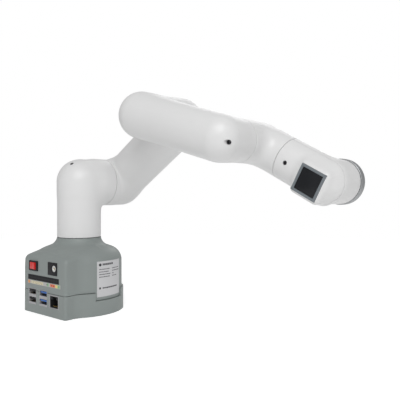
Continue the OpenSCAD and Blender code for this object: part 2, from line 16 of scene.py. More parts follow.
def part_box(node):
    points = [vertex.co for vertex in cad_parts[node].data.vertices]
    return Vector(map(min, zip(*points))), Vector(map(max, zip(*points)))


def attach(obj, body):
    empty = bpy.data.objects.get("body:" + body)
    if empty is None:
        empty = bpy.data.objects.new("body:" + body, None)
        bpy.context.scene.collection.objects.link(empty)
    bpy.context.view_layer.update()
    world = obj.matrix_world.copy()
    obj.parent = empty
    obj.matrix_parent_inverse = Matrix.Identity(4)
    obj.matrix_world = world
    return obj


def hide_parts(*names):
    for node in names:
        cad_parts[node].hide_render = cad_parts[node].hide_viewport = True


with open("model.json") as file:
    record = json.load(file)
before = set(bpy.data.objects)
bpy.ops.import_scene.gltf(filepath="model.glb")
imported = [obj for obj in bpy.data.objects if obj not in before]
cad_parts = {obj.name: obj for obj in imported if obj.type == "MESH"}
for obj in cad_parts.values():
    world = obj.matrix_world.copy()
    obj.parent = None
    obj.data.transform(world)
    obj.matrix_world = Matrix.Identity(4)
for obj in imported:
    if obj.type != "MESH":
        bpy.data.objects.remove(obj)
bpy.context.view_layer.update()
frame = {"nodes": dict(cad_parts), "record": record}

MM = 0.001
SEED = 7
# Angle in degrees between two faces from which their edge is shown crisp
CREASE_ANGLE = 35


# ---- dimensions, from the frame ---------------------------------------------

def low(node, axis):
    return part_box(node)[0][axis] / MM


def high(node, axis):
    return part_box(node)[1][axis] / MM


JOINTS = {j["name"]: j for j in frame["record"]["behaviour"]["joints"]}


def joint_point(name):
    return Vector(JOINTS[name]["pos_m"]) / MM


def lean(a, b):
    """Lean from upright towards -Y, in radians, of the line from a to b."""
    return math.atan2(a.y - b.y, b.z - a.z)


J1 = joint_point("j1_base_turn")
J2 = joint_point("j2_shoulder")
J3 = joint_point("j3_elbow")
J4 = joint_point("j4_wrist_bend")
J6 = joint_point("j6_flange_turn")
WRIST_AXIS = Vector(JOINTS["j5_wrist_turn"]["axis"])

NECK_TOP = J1.z
SEAM_X = J2.x
HALF_GAP = 0.25
WALL = 2.4

BASE_R = high("base_lower_shell", 0)
UPPER_BASE_R = high("base_upper_shell", 0)
PANEL_X = -low("base_upper_shell", 0)
SPLIT_Z = 22.5
PANEL_HALF_W = 35.5
NECK_R = -low("turret_shell", 0)
SHOULDER_R = high("turret_shell", 2) - J2.z
UPPER_R = 23.3
ELBOW_R = 21.9
FORE_R = 20.1
WRIST_R = high("wrist_1_cover", 0) - joint_point("j5_wrist_turn").x
UPPER_X = low("upper_arm_cover", 0)
FORE_X = high("forearm_cover", 0)
WRIST_X = joint_point("j5_wrist_turn").x
UPPER_LEN = (J3 - J2).length
FORE_LEN = (J4 - J3).length
WRIST_LEN = (J6 - Vector((J6.x, J4.y, J4.z))).length
WRIST_SEAM = 32.0
FLANGE_X = J6.x
COVER_X = high("wrist_2_cover", 0)
DISPLAY_X = low("wrist_2_cover", 0)

UPPER_TILT = lean(J2, J3)
FORE_TILT = lean(J3, J4)
WRIST_TILT = math.atan2(-WRIST_AXIS.y, WRIST_AXIS.z)


def link_frame(joint, x, tilt):
    """Frame of a link: its joint at the origin, its length along +Z, in millimetres."""
    return Matrix.Translation((x, joint.y, joint.z)) @ Matrix.Rotation(tilt, 4, "X")


ROW = Matrix.Identity(4)
UPPER = link_frame(J2, UPPER_X, UPPER_TILT)
FORE = link_frame(J3, FORE_X, FORE_TILT)
WRIST = link_frame(J4, WRIST_X, WRIST_TILT)


# ---- distance functions, in millimetres ---------------------------------------
# Each takes an array of points and gives the distance to a surface, negative inside.

# Lengths over which a drawn-in end widens to the full radius, and a blend fades at a seam
TUBE_GROW = 16.0
LIMB_GROW = 18.0
FADE = 10.0


def ease(t):
    t = np.clip(t, 0, 1)
    return t * t * (3 - 2 * t)


def tube(a, b, r, start_r=None):
    """Round-ended tube from a to b of radius r, or from start_r at a widening to r."""
    a, b = np.array(a, float), np.array(b, float)
    start_r = r if start_r is None else start_r
    line = b - a
    length = math.sqrt(line @ line)

    def distance(p):
        t = np.clip((p - a) @ line / length ** 2, 0, 1)
        radius = start_r + (r - start_r) * ease(t * length / TUBE_GROW)
        return np.linalg.norm(p - a - t[:, None] * line, axis=1) - radius
    return distance


def limb(length, r_near, r_far, near_end, far_end):
    """Round-ended tube along +Z, from radius r_near to r_far, drawn in to other radii at its ends."""
    def distance(p):
        z = np.clip(p[:, 2], 0, length)
        radius = r_near + (r_far - r_near) * z / length
        radius = near_end + (radius - near_end) * ease(z / LIMB_GROW)
        radius = far_end + (radius - far_end) * ease((length - z) / LIMB_GROW)
        away = np.stack([p[:, 0], p[:, 1], p[:, 2] - z], -1)
        return np.linalg.norm(away, axis=1) - radius
    return distance


def rod(axis, centre, r):
    """Endless round bar along one axis."""
    others = [i for i in range(3) if i != axis]
    c = np.array(centre, float)

    def distance(p):
        return np.hypot(*(p[:, i] - c[i] for i in others)) - r
    return distance


def half(axis, at, side):
    """Everything on one side of a plane: side 1 keeps what is below it, -1 what is above."""
    return lambda p: side * (p[:, axis] - at)


def fillet_union(a, b, r):
    def distance(p):
        u, v = a(p), b(p)
        rounded = np.hypot(np.maximum(r - u, 0), np.maximum(r - v, 0))
        return np.maximum(r, np.minimum(u, v)) - rounded
    return distance


def soft_union(a, b, reach):
    """Union whose blend swells out past the sharp corner; its reach may depend on the point."""
    def distance(p):
        k = reach(p) if callable(reach) else reach
        u, v = a(p), b(p)
        h = np.maximum(k - np.abs(u - v), 0) / k
        return np.minimum(u, v) - h * h * k / 4
    return distance


def fading(reach, seam, side):
    """Reach of a blend that dies away towards a joint's seam, which keeps the seam round."""
    least = 0.05
    return lambda p: least + reach * ease(side * (p[:, 0] - seam) / FADE)


def round_cut(a, b, radius):
    """Intersection of a and b with its edge rounded to a radius, which may depend on the point."""
    def distance(p):
        r = radius(p) if callable(radius) else radius
        u, v = a(p), b(p)
        rounded = np.hypot(np.maximum(u + r, 0), np.maximum(v + r, 0))
        return np.minimum(-r, np.maximum(u, v)) + rounded
    return distance


def rounded_box(lo, hi, r):
    lo, hi = np.array(lo, float), np.array(hi, float)
    middle, extent = (lo + hi) / 2, (hi - lo) / 2 - r

    def distance(p):
        q = np.abs(p - middle) - extent
        outside = np.linalg.norm(np.maximum(q, 0), axis=1)
        return outside + np.minimum(q.max(axis=1), 0) - r
    return distance


# ---- surfaces from distance functions -------------------------------------------

def slope(f, p):
    step = 0.04
    g = np.empty_like(p)
    for i in range(3):
        d = np.zeros(3)
        d[i] = step
        g[:, i] = (f(p + d) - f(p - d)) / (2 * step)
    return g


def onto_surface(f, p, flat=None, rounds=3):
    """Points moved onto the surface, and within the plane across axis flat if given."""
    for _ in range(rounds):
        g = slope(f, p)
        if flat is not None:
            g[:, flat] = 0
        size = np.maximum((g * g).sum(axis=1), 1e-4)
        move = -(f(p) / size)[:, None] * g
        p = p + np.clip(move, -1.5, 1.5)
    return p


def grid_quads(inside, index):
    """Quads across every grid edge that the surface crosses."""
    quads = []
    for axis in range(3):
        i, j, k = axis, (axis + 1) % 3, (axis + 2) % 3
        a = np.moveaxis(inside, (i, j, k), (0, 1, 2))
        cells = np.moveaxis(index, (i, j, k), (0, 1, 2))
        near, far = a[:-1, 1:-1, 1:-1], a[1:, 1:-1, 1:-1]
        around = np.stack([cells[:, :-1, :-1], cells[:, 1:, :-1], cells[:, 1:, 1:], cells[:, :-1, 1:]], -1)
        out, back = around[near & ~far], around[~near & far]
        quads += [out, back[:, ::-1]]
    return np.concatenate(quads)


def surface(f, lo, hi, step, flats=()):
    """Vertices and quads of the surface of f in a box, snapped onto the planes in flats."""
    spans = [np.arange(a, b + step, step) for a, b in zip(lo, hi)]
    points = np.stack(np.meshgrid(*spans, indexing="ij"), -1)
    shape = points.shape[:3]
    values = f(points.reshape(-1, 3)).reshape(shape)
    inside = values < 0
    corners = sum(
        inside[x:shape[0] - 1 + x, y:shape[1] - 1 + y, z:shape[2] - 1 + z].astype(int)
        for x in (0, 1) for y in (0, 1) for z in (0, 1)
    )
    mixed = (corners > 0) & (corners < 8)
    index = np.full(mixed.shape, -1)
    index[mixed] = np.arange(mixed.sum())
    verts = points[:-1, :-1, :-1][mixed] + step / 2
    quads = grid_quads(inside, index)
    verts = onto_surface(f, verts)
    edges = np.concatenate([quads[:, [a, (a + 1) % 4]] for a in range(4)])
    for _ in range(6):
        total, count = np.zeros_like(verts), np.zeros(len(verts))
        for a, b in ((0, 1), (1, 0)):
            np.add.at(total, edges[:, a], verts[edges[:, b]])
            np.add.at(count, edges[:, a], 1)
        mean = total / np.maximum(count, 1)[:, None]
        verts = onto_surface(f, verts + 0.6 * (mean - verts), rounds=1)
    verts = onto_surface(f, verts, rounds=2)
    for axis, at in flats:
        near = np.abs(verts[:, axis] - at) < 0.45 * step
        snapped = verts[near]
        snapped[:, axis] = at
        verts[near] = onto_surface(f, snapped, flat=axis)
    return verts, quads


def to_bmesh(verts, quads):
    bm = bmesh.new()
    made = [bm.verts.new(v) for v in verts.tolist()]
    for q in quads.tolist():
        if len(set(q)) == 4:
            bm.faces.new([made[i] for i in q])
    return bm


def cut(bm, axis, at, keep):
    """Cuts the mesh at a plane and keeps one side: keep 1 is above, -1 is below."""
    normal, point = Vector(), Vector()
    normal[axis], point[axis] = -keep, at
    bmesh.ops.bisect_plane(
        bm, geom=bm.verts[:] + bm.edges[:] + bm.faces[:], dist=0.02,
        plane_co=point, plane_no=normal, clear_outer=True,
    )
    loose = [v for v in bm.verts if not v.link_faces]
    bmesh.ops.delete(bm, geom=loose, context="VERTS")


def close_rim(bm, axis, at):
    """Closes the opening that a cut left in a plane."""
    rim = [e for e in bm.edges if e.is_boundary and all(abs(v.co[axis] - at) < 0.01 for v in e.verts)]
    bmesh.ops.holes_fill(bm, edges=rim, sides=0)
    bmesh.ops.recalc_face_normals(bm, faces=bm.faces[:])


def tidy_rims(bm):
    """Merges the short edges that a cut leaves along an open rim."""
    rim = {v for e in bm.edges if e.is_boundary for v in e.verts}
    near = rim | {e.other_vert(v) for v in rim for e in v.link_edges}
    bmesh.ops.remove_doubles(bm, verts=list(near), dist=0.22)
    bmesh.ops.dissolve_degenerate(bm, dist=0.01, edges=bm.edges[:])


# ---- objects ----------------------------------------------------------------------

def smooth(mesh):
    mesh.polygons.foreach_set("use_smooth", [True] * len(mesh.polygons))
    mesh.set_sharp_from_angle(angle=math.radians(CREASE_ANGLE))


def finish_mesh(bm, name, matrix=ROW):
    """Turns a millimetre mesh into an object of the scene, smooth with crisp edges."""
    bm.transform(Matrix.Scale(MM, 4) @ matrix)
    mesh = bpy.data.meshes.new(name)
    bm.to_mesh(mesh)
    bm.free()
    smooth(mesh)
    obj = bpy.data.objects.new(name, mesh)
    bpy.context.scene.collection.objects.link(obj)
    return obj


def bake_modifiers(obj):
    """Applies an object's modifiers to its mesh."""
    graph = bpy.context.evaluated_depsgraph_get()
    mesh = bpy.data.meshes.new_from_object(obj.evaluated_get(graph))
    old, obj.data = obj.data, mesh
    obj.modifiers.clear()
    bpy.data.meshes.remove(old)
    smooth(mesh)
    return obj


def thicken(obj):
    """Gives an open skin the casings' wall, inwards."""
    solid = obj.modifiers.new("wall", "SOLIDIFY")
    solid.thickness = WALL * MM
    solid.offset = -1
    solid.use_even_offset = True
    return obj


def soften(obj, width, segments=2, angle=50):
    """Rounds the edges that are sharper than an angle."""
    bevel = obj.modifiers.new("edges", "BEVEL")
    bevel.width = width * MM
    bevel.segments = segments
    bevel.limit_method = "ANGLE"
    bevel.angle_limit = math.radians(angle)
    bevel.use_clamp_overlap = True
    return obj


def subtract(obj, cutters):
    """Cuts the cutter objects out of obj, and removes them."""
    for c in cutters:
        hole = obj.modifiers.new("cut", "BOOLEAN")
        hole.operation = "DIFFERENCE"
        hole.solver = "EXACT"
        hole.object = c
    bake_modifiers(obj)
    for c in cutters:
        bpy.data.objects.remove(c)
    return obj


def cylinder(bm, r, z0, z1, sides=48, r_top=None):
    """Closed cylinder or cone along Z."""
    made = bmesh.ops.create_cone(
        bm, cap_ends=True, segments=sides, radius1=r, radius2=r if r_top is None else r_top,
        depth=z1 - z0,
    )
    bmesh.ops.translate(bm, verts=made["verts"], vec=(0, 0, (z0 + z1) / 2))


def round_cutter(frame_matrix, r, z0, z1, flare=0):
    """Drill along the Z of a frame, with an optional flare at its mouth."""
    bm = bmesh.new()
    cylinder(bm, r, z0, z1, r_top=r + flare)
    return finish_mesh(bm, "drill", frame_matrix)


def lattice(boxes, cuts=()):
    """Mesh of axis-aligned boxes less others, as one closed skin of quads."""
    every = [np.array(b, float) for b in (*boxes, *cuts)]
    lines = [np.unique(np.round(np.concatenate([b[:, i] for b in every]), 6)) for i in range(3)]
    middles = [(a[1:] + a[:-1]) / 2 for a in lines]
    cells = np.stack(np.meshgrid(*middles, indexing="ij"), -1)
    solid = np.zeros(cells.shape[:3], bool)
    for b in every[:len(boxes)]:
        solid |= ((cells > b[0]) & (cells < b[1])).all(-1)
    for b in every[len(boxes):]:
        solid &= ~((cells > b[0]) & (cells < b[1])).all(-1)
    padded = np.pad(solid, 1)
    bm = bmesh.new()
    verts = {}

    def vert(key):
        if key not in verts:
            verts[key] = bm.verts.new([lines[i][key[i]] for i in range(3)])
        return verts[key]

    for x, y, z in np.argwhere(solid):
        for axis in range(3):
            for side in (0, 1):
                step = [0, 0, 0]
                step[axis] = 1 if side else -1
                if padded[x + 1 + step[0], y + 1 + step[1], z + 1 + step[2]]:
                    continue
                ring = []
                for u, v in ((0, 0), (1, 0), (1, 1), (0, 1)):
                    key = [x, y, z]
                    key[axis] += side
                    key[(axis + 1) % 3] += u
                    key[(axis + 2) % 3] += v
                    ring.append(vert(tuple(int(k) for k in key)))
                bm.faces.new(ring if side else ring[::-1])
    bmesh.ops.dissolve_limit(bm, angle_limit=0.01, verts=bm.verts[:], edges=bm.edges[:])
    return bm


def band(bm, one, two):
    """Faces between two closed rings of as many points."""
    for i in range(len(one)):
        j = (i + 1) % len(one)
        bm.faces.new([one[i], one[j], two[j], two[i]])


def prism(outline, z0, z1):
    """Straight solid along Z over a closed outline of [x, y], anticlockwise."""
    bm = bmesh.new()
    low_ring = [bm.verts.new((x, y, z0)) for x, y in outline]
    high_ring = [bm.verts.new((x, y, z1)) for x, y in outline]
    bm.faces.new(low_ring[::-1])
    bm.faces.new(high_ring)
    band(bm, low_ring, high_ring)
    return bm


def pie(start, sweep, r, z0, z1):
    """Wedge of a round slab, from the Z axis out, between two angles in degrees."""
    steps = 48
    arc = [math.radians(start + sweep * i / steps) for i in range(steps + 1)]
    return prism([(0, 0), *((r * math.cos(a), r * math.sin(a)) for a in arc)], z0, z1)


def curved_plates(patches, r0, r1):
    """Plates bent round the Z axis, each [start angle, end angle, low z, high z]."""
    bm = bmesh.new()
    for a0, a1, z0, z1 in patches:
        steps = max(1, math.ceil((a1 - a0) / 2))
        slices = []
        for i in range(steps + 1):
            a = math.radians(a0 + (a1 - a0) * i / steps)
            corners = ((r0, z0), (r1, z0), (r1, z1), (r0, z1))
            slices.append([bm.verts.new((r * math.cos(a), r * math.sin(a), z)) for r, z in corners])
        for one, two in zip(slices, slices[1:]):
            band(bm, two, one)
        bm.faces.new(slices[0])
        bm.faces.new(slices[-1][::-1])
    bmesh.ops.recalc_face_normals(bm, faces=bm.faces[:])
    return bm


def lathe(profile, sides=96):
    """Closed turned shape round Z from a list of [radius, height] that starts and ends on the axis."""
    bm = bmesh.new()
    rings = []
    for r, z in profile:
        if r < 1e-6:
            rings.append([bm.verts.new((0, 0, z))])
            continue
        turn = [2 * math.pi * i / sides for i in range(sides)]
        rings.append([bm.verts.new((r * math.cos(a), r * math.sin(a), z)) for a in turn])
    for lower, upper in zip(rings, rings[1:]):
        if len(lower) == len(upper):
            band(bm, lower, upper)
            continue
        point, ring = (lower[0], upper) if len(lower) == 1 else (upper[0], lower)
        for i in range(sides):
            bm.faces.new([ring[i], ring[(i + 1) % sides], point])
    bmesh.ops.recalc_face_normals(bm, faces=bm.faces[:])
    return bm


# ---- materials --------------------------------------------------------------------

def new_material(name):
    mat = bpy.data.materials.new(name)
    mat.use_nodes = True
    tree = mat.node_tree
    shader = tree.nodes["Principled BSDF"]
    return mat, tree, shader


def add(tree, kind, **inputs):
    """New node with some inputs set, each named with _ for its spaces."""
    node = tree.nodes.new(kind)
    for key, value in inputs.items():
        node.inputs[key.replace("_", " ")].default_value = value
    return node


def noise(tree, scale, detail=3.0, rough=0.5):
    node = add(tree, "ShaderNodeTexNoise", Scale=scale, Detail=detail, Roughness=rough)
    coords = tree.nodes.new("ShaderNodeTexCoord")
    tree.links.new(coords.outputs["Object"], node.inputs["Vector"])
    return node


def spread(tree, source, low_value, high_value):
    """Noise, which mostly stays between 0.3 and 0.7, stretched to a range of values."""
    node = add(tree, "ShaderNodeMapRange", From_Min=0.3, From_Max=0.7, To_Min=low_value, To_Max=high_value)
    tree.links.new(source, node.inputs["Value"])
    return node.outputs["Result"]


def tint(tree, source, dark, light):
    """Colour that wanders between two shades."""
    node = tree.nodes.new("ShaderNodeMix")
    node.data_type = "RGBA"
    node.inputs[6].default_value = (*dark, 1)
    node.inputs[7].default_value = (*light, 1)
    tree.links.new(source, node.inputs[0])
    return node.outputs[2]


def bump(tree, shader, source, strength, distance_mm):
    node = add(tree, "ShaderNodeBump", Strength=strength, Distance=distance_mm * MM)
    tree.links.new(source, node.inputs["Height"])
    tree.links.new(node.outputs["Normal"], shader.inputs["Normal"])


def moulded(name, colour, rough, grain_mm=0.35, depth=0.25, vary=0.02, coat=0.0, sheen=0.5):
    """Injection-moulded plastic: spark-eroded grain, faint flow marks in colour and gloss."""
    mat, tree, shader = new_material(name)
    flow = noise(tree, 14, 4, 0.55)
    dark = [max(c * (1 - vary), 0) for c in colour]
    light = [min(c * (1 + vary), 1) for c in colour]
    tree.links.new(tint(tree, spread(tree, flow.outputs["Fac"], 0, 1), dark, light),
                   shader.inputs["Base Color"])
    handled = noise(tree, 55, 3, 0.6)
    tree.links.new(spread(tree, handled.outputs["Fac"], rough - 0.035, rough + 0.045),
                   shader.inputs["Roughness"])
    grain = noise(tree, 1000 / grain_mm, 2, 0.6)
    bump(tree, shader, grain.outputs["Fac"], depth, 0.03)
    shader.inputs["IOR"].default_value = 1.49
    shader.inputs["Specular IOR Level"].default_value = sheen
    shader.inputs["Coat Weight"].default_value = coat
    shader.inputs["Coat Roughness"].default_value = 0.25
    return mat


def metal(name, colour, rough, brushed=False):
    """Metal with faint blotches of tarnish and a fine grain, drawn out along X if brushed."""
    mat, tree, shader = new_material(name)
    vary = 0.05
    shader.inputs["Metallic"].default_value = 1
    blotch = noise(tree, 120, 3, 0.5)
    dark = [c * (1 - vary) for c in colour]
    light = [min(c * (1 + vary), 1) for c in colour]
    tree.links.new(tint(tree, spread(tree, blotch.outputs["Fac"], 0, 1), dark, light),
                   shader.inputs["Base Color"])
    fine = noise(tree, 2600, 2, 0.7)
    if brushed:
        coords = tree.nodes.new("ShaderNodeTexCoord")
        stretch = tree.nodes.new("ShaderNodeMapping")
        stretch.inputs["Scale"].default_value = (0.05, 1, 1)
        tree.links.new(coords.outputs["Object"], stretch.inputs["Vector"])
        tree.links.new(stretch.outputs["Vector"], fine.inputs["Vector"])
    tree.links.new(spread(tree, fine.outputs["Fac"], rough - 0.06, rough + 0.08),
                   shader.inputs["Roughness"])
    bump(tree, shader, fine.outputs["Fac"], 0.2, 0.01)
    return mat


def board_material(name):
    """Solder mask with the faint pattern of the copper under it."""
    mat, tree, shader = new_material(name)
    coords = tree.nodes.new("ShaderNodeTexCoord")
    tracks = add(
        tree, "ShaderNodeTexBrick", Scale=220.0, Mortar_Size=0.03, Color1=(0.02, 0.16, 0.07, 1),
        Color2=(0.02, 0.13, 0.06, 1), Mortar=(0.05, 0.26, 0.13, 1),
    )
    tree.links.new(coords.outputs["Object"], tracks.inputs["Vector"])
    tree.links.new(tracks.outputs["Color"], shader.inputs["Base Color"])
    gloss = noise(tree, 200)
    tree.links.new(spread(tree, gloss.outputs["Fac"], 0.25, 0.4), shader.inputs["Roughness"])
    bump(tree, shader, tracks.outputs["Fac"], 0.3, 0.03)
    return mat


def paint(obj, mat):
    obj.data.materials.clear()
    obj.data.materials.append(mat)


WHITE = moulded("white_shell", (0.70, 0.70, 0.70), 0.38, vary=0.012, coat=0.08)
GREY = moulded("grey_shell", (0.235, 0.262, 0.254), 0.46, grain_mm=0.5, depth=0.35, vary=0.03)
BLACK = moulded("black_nylon", (0.014, 0.014, 0.016), 0.5, sheen=0.2)
RED = moulded("red_rocker_plastic", (0.62, 0.012, 0.01), 0.36, depth=0.1, coat=0.1)
BLUE = moulded("blue_tongue_plastic", (0.02, 0.12, 0.42), 0.35, depth=0.1)
FRAME_GREY = moulded("display_frame_plastic", (0.155, 0.175, 0.19), 0.36)
WINDOW = moulded("smoked_window", (0.006, 0.007, 0.009), 0.16, depth=0.03, coat=0.1, sheen=0.25)
LABEL = moulded("label_film", (0.54, 0.54, 0.55), 0.38, grain_mm=0.8, depth=0.12, vary=0.015)
STRIP = moulded("strip_film", (0.44, 0.44, 0.43), 0.42, grain_mm=0.8, depth=0.12, vary=0.015)
INK = moulded("label_ink", (0.03, 0.03, 0.035), 0.5, depth=0.05)
MOTOR = moulded("motor_case_plastic", (0.03, 0.03, 0.033), 0.5)
WIRE = moulded("wire_jacket", (0.025, 0.025, 0.028), 0.55)
STEEL = metal("zinc_steel", (0.62, 0.63, 0.64), 0.32, brushed=True)
CAN = metal("tinned_can", (0.42, 0.42, 0.43), 0.36, brushed=True)
NICKEL = metal("plated_sleeve", (0.82, 0.82, 0.80), 0.5)
DARK_STEEL = metal("black_oxide", (0.06, 0.06, 0.065), 0.4)
ALLOY = metal("anodised_flange", (0.40, 0.41, 0.42), 0.42)
BRASS = metal("brass_insert", (0.75, 0.55, 0.25), 0.3)
GOLD = metal("gold_contact", (0.85, 0.62, 0.25), 0.25)
BOARD = board_material("solder_mask")

INNER_LOOKS = {
    "steel": STEEL, "brass_insert": BRASS, "circuit_board": BOARD, "motor_case": MOTOR,
    "horn_alloy": ALLOY, "wire_jacket": WIRE, "dark_screw": DARK_STEEL, "flange_alloy": ALLOY,
}
for part in frame["record"]["subparts"]:
    if part["material_slot"] in INNER_LOOKS:
        paint(frame["nodes"][part["node"]], INNER_LOOKS[part["material_slot"]])


def place(obj, mat, body, slot, *nodes):
    """Gives a piece its look and its body, and hides the CAD nodes it stands for; slot is not used."""
    paint(obj, mat)
    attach(obj, body)
    if nodes:
        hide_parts(*nodes)
    return obj


# ---- shells ---------------------------------------------------------------------------

# Grid step of the casings' surfaces, and the rounding of their rims
STEP = 1.1
RIM = 0.25


def shell(name, f, lo, hi, cuts, matrix, holes=(), closed=None):
    """Hollow moulded shell: the surface of f between cutting planes, with soft rims.

    closed is the cut whose opening is closed with a flat floor.
    """
    flats = [(axis, at) for axis, at, keep in cuts]
    bm = to_bmesh(*surface(f, lo, hi, STEP, flats))
    for axis, at, keep in cuts:
        cut(bm, axis, at, keep)
    tidy_rims(bm)
    if closed:
        close_rim(bm, *closed)
    obj = thicken(finish_mesh(bm, name, matrix))
    soften(obj, RIM)
    bake_modifiers(obj)
    if holes:
        subtract(obj, list(holes))
    return obj


def box_cutter(lo, hi, matrix=ROW):
    return finish_mesh(lattice([(lo, hi)]), "window", matrix)


def skin_point(f, start, direction):
    """Where a straight line from inside the shape comes out through its surface."""
    start, direction = np.array(start, float), np.array(direction, float)
    inner, outer = 0.0, 60.0
    for _ in range(30):
        middle = (inner + outer) / 2
        if f((start + middle * direction)[None])[0] < 0:
            inner = middle
        else:
            outer = middle
    return Vector(start + inner * direction)


def to_local(matrix, x):
    """A row X coordinate in the frame of a link."""
    return x - matrix.translation.x


def box_side(p):
    return np.abs(p[:, 1]) - PANEL_HALF_W


def base_lower_form():
    """Round drum and panel box, upright all the way."""
    corner, blend = 2.4, 4

    def box(p):
        return np.maximum(box_side(p), p[:, 0])
    plan = soft_union(rod(2, (0, 0, 0), BASE_R), box, blend)
    return round_cut(plan, half(0, -PANEL_X, -1), corner)


def base_upper_form():
    """Round drum and panel box under one sloping top, flared up into the neck."""
    cone_fall, cone_r, cone_z = 0.39, 25.4, 67.2
    drum_edge, front_edge, corner, top_edge = 9, 3.5, 2.6, 4.0
    edge_foot, edge_rise = 46, 10
    drum_start, blend, neck_fillet = 8, 3, 6

    def cone(p):
        rho = np.hypot(p[:, 0], p[:, 1])
        return (p[:, 2] - cone_z + cone_fall * (rho - cone_r)) / math.hypot(1, cone_fall)

    def edge_radius(p):
        """Tight on the upright corners, wider round the top."""
        return corner + (top_edge - corner) * np.clip((p[:, 2] - edge_foot) / edge_rise, 0, 1)

    drum = round_cut(rod(2, (0, 0, 0), UPPER_BASE_R), cone, drum_edge)
    front = round_cut(cone, half(0, -PANEL_X, -1), front_edge)
    box = round_cut(front, box_side, edge_radius)

    def body(p):
        closed_box = np.maximum(box(p), p[:, 0])
        round_part = np.maximum(drum(p), -PANEL_X + drum_start - p[:, 0])
        return soft_union(lambda q: round_part, lambda q: closed_box, blend)(p)
    return fillet_union(body, rod(2, (0, 0, 0), NECK_R), neck_fillet)


# A blend swells by a quarter of its reach where two ends meet, so tubes are drawn in
# there by about that much. FAR is past every cut, so a tube's other end never shows.
BLEND = 9
DRAW_IN = 2.3
FAR = 90


def turret_form():
    upright = tube((0, 0, J2.z), (0, 0, 0), NECK_R, start_r=NECK_R - 2.1)
    across = tube((2.2, 0, J2.z), (FAR, 0, J2.z), SHOULDER_R, start_r=SHOULDER_R - DRAW_IN)
    return soft_union(upright, across, BLEND)


def upper_arm_form():
    elbow_blend = 10
    seam = to_local(UPPER, SEAM_X)
    arm = limb(UPPER_LEN, UPPER_R, UPPER_R, SHOULDER_R - 2.4, UPPER_R - 2.4)
    shoulder = tube((-0.6, 0, 0), (-FAR, 0, 0), SHOULDER_R, start_r=SHOULDER_R - DRAW_IN)
    elbow = tube((-0.4, 0, UPPER_LEN), (-FAR, 0, UPPER_LEN), ELBOW_R, start_r=UPPER_R - 2.6)
    near_part = soft_union(arm, shoulder, fading(BLEND, seam, 1))
    return soft_union(near_part, elbow, fading(elbow_blend, seam, 1))


def forearm_form():
    blend = fading(11, to_local(FORE, SEAM_X), -1)
    arm = limb(FORE_LEN, ELBOW_R - 0.6, FORE_R, ELBOW_R - 2.6, FORE_R - 2.6)
    elbow = tube((0.3, 0, 0), (FAR, 0, 0), ELBOW_R, start_r=ELBOW_R - 2.6)
    wrist = tube((0.3, 0, FORE_LEN), (FAR, 0, FORE_LEN), WRIST_R, start_r=FORE_R - 2.7)
    return soft_union(soft_union(arm, elbow, blend), wrist, blend)


def wrist_1_form():
    across = tube((0, 0, 0), (-FAR, 0, 0), WRIST_R, start_r=WRIST_R - DRAW_IN)
    along = tube((0, 0, 0), (0, 0, FAR), WRIST_R, start_r=WRIST_R - DRAW_IN)
    return soft_union(across, along, BLEND)


# Display in the frame of the wrist: its centre, and half widths of its boss, frame and pane
DISPLAY_BOX = [Vector(corner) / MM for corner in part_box("display_button")]
DISPLAY_MIDDLE = WRIST.inverted() @ ((DISPLAY_BOX[0] + DISPLAY_BOX[1]) / 2)
DISPLAY_AT = Vector((to_local(WRIST, DISPLAY_X), DISPLAY_MIDDLE.y, DISPLAY_MIDDLE.z))
BOSS = 14.6
FRAME_HALF = 12.0
PANE_HALF = 9.6
FRAME_RISE = 0.6


def wrist_2_form():
    below_seam = -60
    along = tube((0, 0, WRIST_LEN), (0, 0, below_seam), WRIST_R, start_r=WRIST_R - DRAW_IN)
    across = tube((0, 0, WRIST_LEN), (FAR, 0, WRIST_LEN), WRIST_R, start_r=WRIST_R - DRAW_IN)
    y, z = DISPLAY_AT.y, DISPLAY_AT.z
    boss = rounded_box((DISPLAY_AT.x, y - BOSS, z - BOSS), (0, y + BOSS, z + BOSS), 4.5)
    return soft_union(soft_union(along, across, BLEND), boss, 6)


def halves(body, matrix, f, lo, hi, parts):
    """Casing in two halves, each given as (name, node, cuts, holes)."""
    for name, node, cuts, holes in parts:
        place(shell(name, f, lo, hi, cuts, matrix, holes), WHITE, body, "arm_shell", node)


def screw_mesh(name, matrix, head, head_r, tall=1.6):
    """Socket-head screw whose head's top is at height head in its frame."""
    low_z = head - tall
    foot_edge, top_edge = 0.15, 0.25
    socket_r, socket_depth = head_r * 0.52, 0.9
    bm = lathe([
        [0, low_z], [head_r - foot_edge, low_z], [head_r, low_z + foot_edge],
        [head_r, head - top_edge], [head_r - top_edge, head], [0, head],
    ], 40)
    obj = finish_mesh(bm, name, matrix)
    bm = bmesh.new()
    cylinder(bm, socket_r, head - socket_depth, head + 1, sides=6)
    return subtract(obj, [finish_mesh(bm, "socket", matrix)])


def join(name, objects):
    """One object out of several."""
    with bpy.context.temp_override(active_object=objects[0], selected_editable_objects=objects):
        bpy.ops.object.join()
    objects[0].name = name
    return objects[0]


def recess(matrix, r):
    """Drill for a screw's pocket, from a point on the skin."""
    pocket_depth, clear = 1.7, 8
    return round_cutter(matrix, r, -pocket_depth, clear)


def screws_piece(name, frames, body, node, r):
    """Screw heads that sit a little below the skin, in their recesses."""
    sunk = 0.5
    parts = [screw_mesh(name, m, -sunk, r) for m in frames]
    return place(join(name, parts), DARK_STEEL, body, "dark_screw", node)


def facing(side):
    """Turn that brings +Z onto +X (side 1) or -X (side -1)."""
    return Matrix.Rotation(math.radians(90 * side), 4, "Y")


def screw_frames(matrix, f, points, side):
    """Frames on the skin of a link's shape, for screws driven along X."""
    frames = []
    for x, y, z in points:
        at = skin_point(f, (x, y, z), (side, 0, 0))
        frames.append(matrix @ Matrix.Translation(at) @ facing(side))
    return frames


# ---- stage ----------------------------------------------------------------------------

